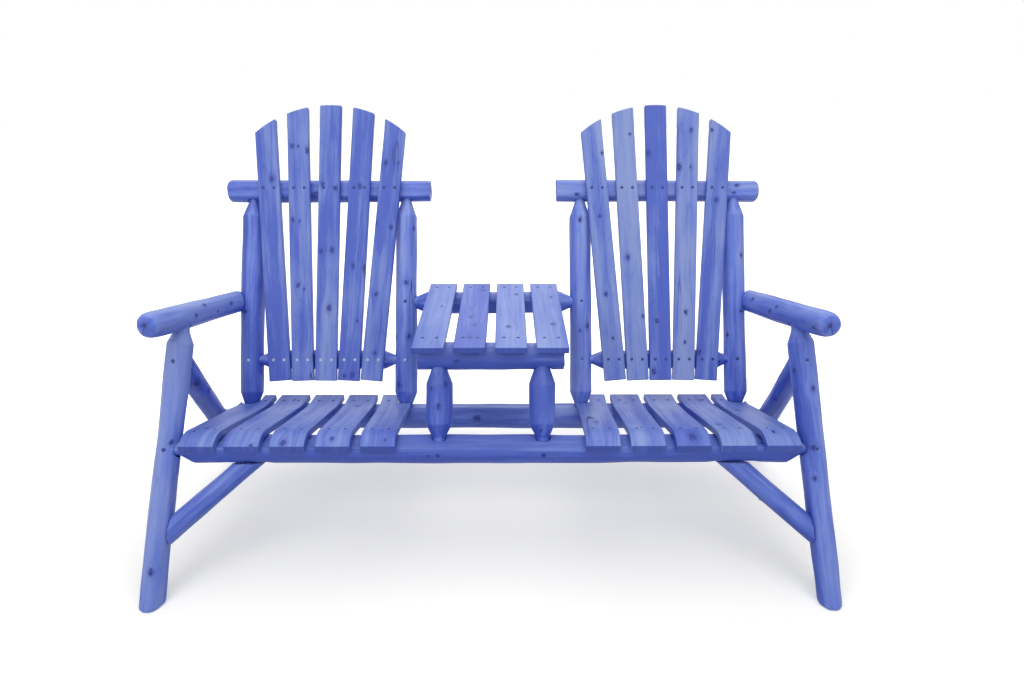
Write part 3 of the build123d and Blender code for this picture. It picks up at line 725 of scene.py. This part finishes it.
class StainedWood:
    """Makes the stained material of each log and board.

    The names that start with ring hold the ranges of seeded draws. An edge is where a smooth step
    starts and ends, and the ramp's stops go from thick stain to thin.
    """

    reach: float = 9.0
    board_grain: Triple = (1.0, 1.0, 0.12)
    ring_strengths: Span = (0.6, 1.4)
    ring_tilts: Span = (0.02, 0.06)
    ring_sides: Span = (-0.03, 0.03)
    ring_depths: Span = (0.02, 0.06)
    ramp_stops: Triple = (0.40, 0.495, 0.615)
    end_edge: Span = (0.70, 0.90)
    late_edge: Span = (0.42, 0.56)
    grain_gloss: float = -0.25
    mark_height: float = 0.5
    bump: float = 0.5
    bump_depth: float = 0.0012
    # Painted top light: how it grows with a face's upward tilt and with the grain's shade
    least_upward: float = -0.1
    top_light_shades: tuple[float, float, float, float] = (0.34, 0.62, 0.35, 1.1)

    def __init__(self, stain: Stain) -> None:
        """Builds the groups that the materials share.

        Args:
            stain: The colours of the stain.
        """
        self.stain = stain
        self.knot_group = build_knot_group(KnotLook())
        self.grain_group = build_grain_group(GrainLook())
        self.log_end_group = build_log_end_group(LogEndLook())

    def material(self, timber: Timber) -> bpy.types.Material:
        """Makes the material of one log or board.

        Args:
            timber: The log or board, with its knots.

        Returns:
            The material.
        """
        material = bpy.data.materials.new(f"stain_{timber.name}")
        material.use_nodes = True
        graph = Graph(material.node_tree)
        shader = material.node_tree.nodes["Principled BSDF"]
        place = self.own_place(graph, timber)
        bent, mark = place, 0.0
        for knot in timber.knots:
            centre = timber.own(knot.centre)
            inputs = {"Vector": bent, "Centre": centre, "Radius": knot.radius, "Mark": mark}
            made = self.group_node(graph, self.knot_group, inputs)
            bent, mark = made.outputs["Vector"], made.outputs["Mark"]
        grain = self.grain(graph, timber, bent)
        start, end = (tone + 0.5 * (1.0 - timber.contrast) for tone in timber.tone)
        tone = {"Value": self.along(graph, place), 1: 0.0, 2: timber.length, 3: start, 4: end}
        tone = graph.node("ShaderNodeMapRange", tone).outputs[0]
        shade = graph.math("MULTIPLY_ADD", grain.outputs["Shade"], timber.contrast, tone)
        # Painted top light: faces that look up are paled
        colour = self.paint_top_light(graph, timber, self.stain_ramp(graph, timber, shade), shade)
        colour = graph.mix(mark, colour, self.stain.knot)
        colour = graph.mix(grain.outputs["Crack"], colour, self.stain.crack)
        colour = graph.mix(self.end_mask(graph, timber), colour, self.end_colour(graph, timber, place, shade))
        graph.feed(shader.inputs["Base Color"], colour)
        rough = graph.math("MULTIPLY_ADD", grain.outputs["Shade"], self.grain_gloss, self.stain.roughness)
        graph.feed(shader.inputs["Roughness"], rough)
        height = graph.math("MULTIPLY_ADD", mark, self.mark_height, grain.outputs["Height"])
        raised = {"Strength": self.bump, "Distance": self.bump_depth, "Height": height}
        bump = graph.node("ShaderNodeBump", raised)
        graph.feed(shader.inputs["Normal"], bump.outputs[0])
        return material

    def grain(self, graph: Graph, timber: Timber, bent) -> bpy.types.Node:
        """Places the grain of one log or board.

        Args:
            graph: The material's graph.
            timber: The log or board.
            bent: Coordinates in its own frame, bent round its knots.

        Returns:
            The grain's node.
        """
        picked = random.Random(timber.name)
        shift = Vector([picked.uniform(-self.reach, self.reach) for _ in range(3)])
        if timber.is_log:
            grain_place, rings = graph.vector("ADD", bent, shift).outputs[0], 0.0
            ring_place = bent
        else:
            grain_place = graph.vector("MULTIPLY_ADD", bent, self.board_grain, shift).outputs[0]
            rings = picked.uniform(*self.ring_strengths)
            tilt = picked.choice((-1.0, 1.0)) * picked.uniform(*self.ring_tilts)
            parts = graph.node("ShaderNodeSeparateXYZ", {0: bent})
            off_centre = graph.math("ADD", parts.outputs[1], picked.uniform(*self.ring_sides))
            depth = graph.math("MULTIPLY_ADD", parts.outputs[0], tilt, picked.uniform(*self.ring_depths))
            ring_place = graph.node("ShaderNodeCombineXYZ", {0: 0.0, 1: off_centre, 2: depth}).outputs[0]
        inputs = {"Vector": grain_place, "Ring Place": ring_place, "Rings": rings}
        return self.group_node(graph, self.grain_group, inputs)

    @staticmethod
    def group_node(graph: Graph, tree: bpy.types.NodeTree, inputs: dict) -> bpy.types.Node:
        """Places a node group with its values.

        Args:
            graph: The material's graph.
            tree: The node group.
            inputs: A value or an output to link, for each input by its name.

        Returns:
            The group's node.
        """
        new = graph.node("ShaderNodeGroup", node_tree=tree)
        for name, value in inputs.items():
            graph.feed(new.inputs[name], value)
        return new

    @staticmethod
    def own_place(graph: Graph, timber: Timber) -> Socket:
        """Adds coordinates in a timber's own frame.

        Args:
            graph: The material's graph.
            timber: The log or board.

        Returns:
            The coordinates, in metres.
        """
        turning = timber.turning()
        mapping = graph.node("ShaderNodeMapping", vector_type="POINT")
        mapping.inputs["Rotation"].default_value = turning.to_euler()
        mapping.inputs["Location"].default_value = -(turning @ timber.start)
        source = graph.node("ShaderNodeTexCoord").outputs["Object"]
        graph.feed(mapping.inputs["Vector"], source)
        return mapping.outputs[0]

    @staticmethod
    def along(graph: Graph, place) -> Socket:
        """The way along the grain, from coordinates in the timber's own frame."""
        return graph.node("ShaderNodeSeparateXYZ", {0: place}).outputs[0]

    @staticmethod
    def end_mask(graph: Graph, timber: Timber) -> Socket:
        """Masks the faces that cut across the grain.

        Args:
            graph: The material's graph.
            timber: The log or board.

        Returns:
            1 on those faces, and 0 elsewhere.
        """
        normal = graph.node("ShaderNodeNewGeometry").outputs["Normal"]
        facing = graph.vector("DOT_PRODUCT", normal, timber.axis).outputs["Value"]
        return graph.step(graph.math("ABSOLUTE", facing), *StainedWood.end_edge)

    def stain_ramp(self, graph: Graph, timber: Timber, shade) -> Socket:
        """Adds the stain's colour from thick to thin, which is a little bluer on peeled logs.

        Args:
            graph: The material's graph.
            timber: The log or board.
            shade: How thin the stain is.

        Returns:
            The colour.
        """
        ramp = graph.node("ShaderNodeValToRGB", {0: shade})
        full = self.stain.log_full if timber.is_log else self.stain.full
        thin = self.stain.log_thin if timber.is_log else self.stain.thin
        elements = ramp.color_ramp.elements
        stops = zip(self.ramp_stops, (self.stain.thick, full, thin))
        for place, (position, colour) in enumerate(stops):
            stop = elements[place] if place < len(elements) else elements.new(position)
            stop.position = position
            stop.color = (*colour, 1.0)
        return ramp.outputs[0]

    def paint_top_light(self, graph: Graph, timber: Timber, colour, shade) -> Socket:
        """Paints top light onto faces that look up: their colour is mixed toward a paler one, as if lit from
        above.

        Args:
            graph: The material's graph.
            timber: The log or board.
            colour: The stain's colour.
            shade: The grain's shade, which keeps dark streaks darker.

        Returns:
            The colour with its painted top light.
        """
        normal = graph.node("ShaderNodeNewGeometry").outputs["Normal"]
        upward = graph.node("ShaderNodeSeparateXYZ", {0: normal}).outputs[2]
        upward = graph.step(upward, self.least_upward, 1.0, 0.0, timber.top_light_share)
        share = graph.math("MULTIPLY", upward, graph.step(shade, *self.top_light_shades))
        return graph.mix(share, colour, self.stain.top_light_colour)

    def end_colour(self, graph: Graph, timber: Timber, place, shade) -> Socket:
        """The stain's colour on faces cut across the grain.

        Args:
            graph: The material's graph.
            timber: The log or board.
            place: Coordinates in its own frame.
            shade: The grain's shade.

        Returns:
            The colour.
        """
        if timber.is_log:
            end = self.group_node(graph, self.log_end_group, {"Vector": place})
            colour = self.stain_ramp(graph, timber, end.outputs["Shade"])
            return graph.mix(end.outputs["Pith"], colour, self.stain.pith)
        late = graph.step(shade, *self.late_edge)
        return graph.mix(late, self.stain.board_end_late, self.stain.board_end)


def dress(node: str, material: bpy.types.Material) -> None:
    """Gives a CAD node one material all over.

    Args:
        node: The node's name.
        material: The material.
    """
    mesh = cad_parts[node].data
    mesh.materials.clear()
    mesh.materials.append(material)


@dataclass(frozen=True)
class Waves:
    """Soft waves in a log's surface: their length along it, their width round it, and their depth.

    Detail is how many finer waves lie on them.
    """

    length: float
    width: float
    depth: float
    detail: int


@dataclass
class LogSet:
    """The logs of the bench, each with an uneven, hand-peeled surface."""

    finish: StainedWood
    voxel: float = 0.0026
    weld: float = 0.00001
    facets: Waves = Waves(0.150, 0.024, 0.0042, 1)
    bends: Waves = Waves(0.330, 0.090, 0.0050, 0)
    offset_reach: float = 3.0
    mid_level: float = 0.55
    knot_rise: float = 0.0016
    knot_reach: float = 2.4
    wear_length: float = 0.050
    wear_rounds: int = 110
    wear_factor: float = 0.5
    wear_spread: float = 1.6
    knot_count: int = 3
    paired: tuple[str, ...] = (
        "front_leg",
        "rear_leg",
        "arm",
        "knee_brace",
        "back_post_inner",
        "back_post_outer",
        "top_rail",
        "lower_back_rail",
        "table_post",
    )
    middle: tuple[str, ...] = ("front_rail", "back_rail", "table_front_beam", "table_back_beam")

    def logs(self) -> list[Timber]:
        """Every log of the bench."""
        names = [f"{kind}_{side.value}" for side in Side for kind in self.paired]
        return [Timber(name, True, TOWARD_VIEWER, self.knot_count) for name in (*names, *self.middle)]

    def build(self) -> None:
        """Models and dresses every log."""
        for log in self.logs():
            piece = self.peeled(log)
            piece.data.materials.clear()
            piece.data.materials.append(self.finish.material(log))
            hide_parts(log.name)
            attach(piece, "root")
            LOG.info("log %s, %d faces", log.name, len(piece.data.polygons))

    def peeled(self, log: Timber) -> bpy.types.Object:
        """Models the hand-peeled log over the form of its CAD log.

        Args:
            log: The log.

        Returns:
            The finished piece.
        """
        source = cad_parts[log.name]
        bpy.ops.object.select_all(action="DESELECT")
        source.select_set(True)
        bpy.context.view_layer.objects.active = source
        bpy.ops.object.duplicate()
        piece = bpy.context.view_layer.objects.active
        piece.name = f"peeled_{log.name}"
        piece.data.name = piece.name
        bpy.ops.object.mode_set(mode="EDIT")
        bpy.ops.mesh.select_all(action="SELECT")
        bpy.ops.mesh.remove_doubles(threshold=self.weld)
        bpy.ops.object.mode_set(mode="OBJECT")
        even = piece.modifiers.new("even", "REMESH")
        even.mode = "VOXEL"
        even.voxel_size = self.voxel
        bpy.ops.object.modifier_apply(modifier=even.name)
        self.sway(piece, log, "sway", self.bends)
        self.sway(piece, log, "facets", self.facets)
        self.raise_knots(piece, log)
        if log.name.startswith("arm"):
            self.wear_end(piece, log)
        self.level_feet(piece)
        bpy.ops.object.shade_smooth()
        return piece

    @staticmethod
    def level_feet(piece: bpy.types.Object) -> None:
        """Keeps a log's surface from reaching below the floor."""
        for vertex in piece.data.vertices:
            vertex.co.z = max(vertex.co.z, 0.0)

    def sway(self, piece: bpy.types.Object, log: Timber, name: str, waves: Waves) -> None:
        """Moves a log's surface in and out in long soft waves.

        Args:
            piece: The log's piece.
            log: The log.
            name: What the waves are called.
            waves: Their size.
        """
        guide = bpy.data.objects.new(f"{name}_guide", None)
        bpy.context.scene.collection.objects.link(guide)
        picked = random.Random(f"{name} {log.name}")
        reach = self.offset_reach
        offset = Vector([picked.uniform(-reach, reach) for _ in range(3)])
        guide.matrix_world = (
            Matrix.Translation(log.start + offset)
            @ log.turning().transposed().to_4x4()
            @ Matrix.Diagonal((waves.length, waves.width, waves.width, 1.0))
        )
        bpy.context.view_layer.update()
        texture = bpy.data.textures.new(name, "CLOUDS")
        texture.noise_scale = 1.0
        texture.noise_depth = waves.detail
        moved = piece.modifiers.new(name, "DISPLACE")
        moved.texture = texture
        moved.texture_coords = "OBJECT"
        moved.texture_coords_object = guide
        moved.strength = waves.depth
        moved.mid_level = self.mid_level
        bpy.ops.object.modifier_apply(modifier=moved.name)
        bpy.data.objects.remove(guide)
        bpy.data.textures.remove(texture)

    def wear_end(self, piece: bpy.types.Object, log: Timber) -> None:
        """Rounds an arm's front end, worn by hands.

        Args:
            piece: The arm's piece.
            log: The arm's log.
        """
        group = piece.vertex_groups.new(name="front")
        for vertex in piece.data.vertices:
            share = 1.0 - (vertex.co - log.start).dot(log.axis) / self.wear_length
            if share > 0.0:
                group.add([vertex.index], min(1.0, share * self.wear_spread), "REPLACE")
        wear = piece.modifiers.new("wear", "SMOOTH")
        wear.vertex_group = group.name
        wear.factor = self.wear_factor
        wear.iterations = self.wear_rounds
        bpy.ops.object.modifier_apply(modifier=wear.name)
        piece.vertex_groups.clear()

    def raise_knots(self, piece: bpy.types.Object, log: Timber) -> None:
        """Raises the surface round each knot of a log.

        Args:
            piece: The log's piece.
            log: The log, with its knots.
        """
        group = piece.vertex_groups.new(name="knots")
        for knot in log.knots:
            reach = knot.radius * self.knot_reach
            for vertex in piece.data.vertices:
                share = (vertex.co - knot.centre).length / reach
                if share < 1.0:
                    group.add([vertex.index], (1.0 - share * share) ** 2, "REPLACE")
        rise = piece.modifiers.new("knots", "DISPLACE")
        rise.vertex_group = group.name
        rise.strength = self.knot_rise
        rise.mid_level = 0.0
        bpy.ops.object.modifier_apply(modifier=rise.name)
        piece.vertex_groups.clear()


@dataclass
class BoardSet:
    """The boards of the backs, the seats and the table."""

    finish: StainedWood
    chair_boards: int = 5
    table_boards: int = 2
    seat_contrast: float = 0.85
    table_contrast: float = 0.65

    def boards(self) -> list[Timber]:
        """Lists the boards.

        Returns:
            Every board of the bench.
        """
        kinds = (
            ("back_slat", self.chair_boards, BACK_FACING, 1.0),
            ("seat_slat", self.chair_boards, UP, self.seat_contrast),
            ("table_slat", self.table_boards, UP, self.table_contrast),
        )
        return [
            Timber(f"{kind}_{number + 1}_{side.value}", False, facing, contrast=contrast)
            for kind, count, facing, contrast in kinds
            for side in Side
            for number in range(count)
        ]

    def build(self) -> None:
        """Dresses every board."""
        for board in self.boards():
            dress(board.name, self.finish.material(board))
            LOG.info("board %s", board.name)


@dataclass
class Fasteners:
    """Screws and nails."""

    paint: Paint = Paint((0.020, 0.030, 0.150), 0.42, 0.35)
    bare: Paint = Paint((0.400, 0.440, 0.580), 0.38, 0.35)
    bare_below: float = 0.45
    bare_above: float = 0.38
    wear: Noise = Noise((420.0, 420.0, 420.0))
    worn_light: float = 2.4
    worn_edge: Span = (0.45, 0.7)
    worn_roughness: float = 0.25
    gloss: float = 0.1
    groups: tuple[str, ...] = ("back_slat_screws", "seat_nails", "table_nails", "frame_screws")

    def build(self) -> None:
        """Dresses every group of fasteners."""
        material = bpy.data.materials.new("fastener_paint")
        material.use_nodes = True
        graph = Graph(material.node_tree)
        shader = material.node_tree.nodes["Principled BSDF"]
        shader.inputs["Metallic"].default_value = self.paint.metallic
        place = graph.node("ShaderNodeTexCoord").outputs["Object"]
        worn = graph.noise(place, self.wear)
        light = tuple(value * self.worn_light for value in self.paint.colour)
        painted = graph.mix(graph.step(worn, *self.worn_edge), self.paint.colour, light)
        parts = graph.node("ShaderNodeSeparateXYZ", {0: place})
        left = graph.math("LESS_THAN", parts.outputs[0], 0.0)
        low = graph.math("LESS_THAN", parts.outputs[2], self.bare_below)
        high = graph.math("GREATER_THAN", parts.outputs[2], self.bare_above)
        bare = graph.math("MULTIPLY", graph.math("MULTIPLY", left, low), high)
        graph.feed(shader.inputs["Base Color"], graph.mix(bare, painted, self.bare.colour))
        least = self.paint.roughness - self.gloss
        graph.feed(shader.inputs["Roughness"], graph.math("MULTIPLY_ADD", worn, self.worn_roughness, least))
        for name in self.groups:
            dress(name, material)
            LOG.info("fasteners %s", name)


@dataclass(frozen=True)
class Lamp:
    """A soft lamp: its width in metres and its power in watts."""

    name: str
    place: Triple
    size: float
    power: float


@dataclass
class Studio:
    """The floor, the light and the camera."""

    lamps: tuple[Lamp, ...] = (
        Lamp("overhead", (0.0, -0.5, 4.2), 4.0, 86.0),
        Lamp("front_left", (-2.6, -3.2, 2.6), 2.6, 42.0),
        Lamp("front_right", (2.6, -3.2, 2.6), 2.6, 32.0),
        Lamp("behind", (0.2, 3.2, 2.8), 2.6, 34.0),
    )
    lit_place: Triple = (0.0, 0.0, 0.45)
    floor_roughness: float = 0.9
    floor_size: float = 14.0
    floor_seen: tuple[float, float, float, float] = (0.80, 0.795, 0.755, 1.0)
    floor_bounce: tuple[float, float, float, float] = (0.50, 0.50, 0.50, 1.0)
    # Camera-only glow of the floor: weaker round a middle just in front of the bench, a painted soft shade
    # where its shadow shows, and full farther off, painted light that hides its shadow there
    floor_glow: float = 0.31
    far_glow: float = 1.0
    painted_shade_middle: Triple = (0.0, 0.30, 0.0)
    painted_shade_shape: Triple = (0.55, 1.0, 1.0)
    near: float = 0.45
    far: float = 1.20
    world_light: float = 0.38

    def build(self) -> None:
        """Sets up the studio."""
        self.place_floor()
        for lamp in self.lamps:
            self.place_lamp(lamp)
        self.place_world()
        self.place_camera()

    def place_floor(self) -> None:
        """Adds the pale floor, which throws back less light than it shows; its glow is painted light, weaker
        in front of the bench as painted shade.
        """
        bpy.ops.mesh.primitive_plane_add(size=self.floor_size, location=(0.0, 0.0, 0.0))
        floor = bpy.context.object
        floor.name = "floor"
        material = bpy.data.materials.new("pale_floor")
        material.use_nodes = True
        graph = Graph(material.node_tree)
        seen = self.seen_ray(graph)
        shader = material.node_tree.nodes["Principled BSDF"]
        graph.feed(shader.inputs["Base Color"], graph.mix(seen, self.floor_bounce, self.floor_seen))
        shader.inputs["Roughness"].default_value = self.floor_roughness
        shader.inputs["Specular IOR Level"].default_value = 0.0
        shader.inputs["Emission Color"].default_value = WHITE
        # Painted shade on the floor: the glow fades toward a middle in front of the bench
        place = graph.node("ShaderNodeTexCoord").outputs["Object"]
        place = graph.vector("ADD", place, self.painted_shade_middle).outputs[0]
        place = graph.vector("MULTIPLY", place, self.painted_shade_shape).outputs[0]
        reach = graph.vector("LENGTH", place).outputs["Value"]
        glow = graph.step(reach, self.near, self.far, self.floor_glow, self.far_glow)
        graph.feed(shader.inputs["Emission Strength"], graph.math("MULTIPLY", seen, glow))
        floor.data.materials.append(material)

    @staticmethod
    def seen_ray(graph: Graph) -> Socket:
        """Tells what is looked at from what only throws light back.

        Args:
            graph: The material's or the world's graph.

        Returns:
            1 where the camera, a reflection or glass looks, and 0 for the light that bounces.
        """
        path = graph.node("ShaderNodeLightPath")
        seen = graph.math("MAXIMUM", path.outputs["Is Camera Ray"], path.outputs["Is Glossy Ray"])
        return graph.math("MAXIMUM", seen, path.outputs["Is Transmission Ray"])

    def place_lamp(self, lamp: Lamp) -> None:
        """Adds a soft lamp aimed at the bench.

        Args:
            lamp: The lamp.
        """
        data = bpy.data.lights.new(lamp.name, "AREA")
        data.size = lamp.size
        data.energy = lamp.power
        placed = bpy.data.objects.new(lamp.name, data)
        placed.location = lamp.place
        aim = Vector(self.lit_place) - Vector(lamp.place)
        placed.rotation_euler = aim.to_track_quat("-Z", "Y").to_euler()
        bpy.context.scene.collection.objects.link(placed)

    def place_world(self) -> None:
        """Lights the bench from all round, and shows white behind it."""
        world = bpy.data.worlds.new("studio")
        bpy.context.scene.world = world
        world.use_nodes = True
        graph = Graph(world.node_tree)
        seen = self.seen_ray(graph)
        background = world.node_tree.nodes["Background"]
        background.inputs["Color"].default_value = WHITE
        strength = graph.math("MULTIPLY_ADD", seen, 1.0 - self.world_light, self.world_light)
        graph.feed(background.inputs["Strength"], strength)

    def place_camera(self) -> None:
        """Puts the camera at the photograph's viewing angle."""
        data = bpy.data.cameras.new("camera")
        data.lens = VIEW.lens
        data.sensor_width = VIEW.sensor
        camera = bpy.data.objects.new("camera", data)
        camera.location = VIEW.place
        camera.rotation_euler = VIEW.angles
        bpy.context.scene.collection.objects.link(camera)
        bpy.context.scene.camera = camera


def main() -> None:
    """Dresses the bench and sets up the studio."""
    logging.basicConfig(level=logging.INFO)
    bpy.ops.object.select_all(action="DESELECT")
    bpy.context.scene.view_settings.view_transform = "Standard"
    finish = StainedWood(Stain())
    LogSet(finish).build()
    BoardSet(finish).build()
    Fasteners().build()
    Studio().build()


if __name__ == "__main__":
    main()
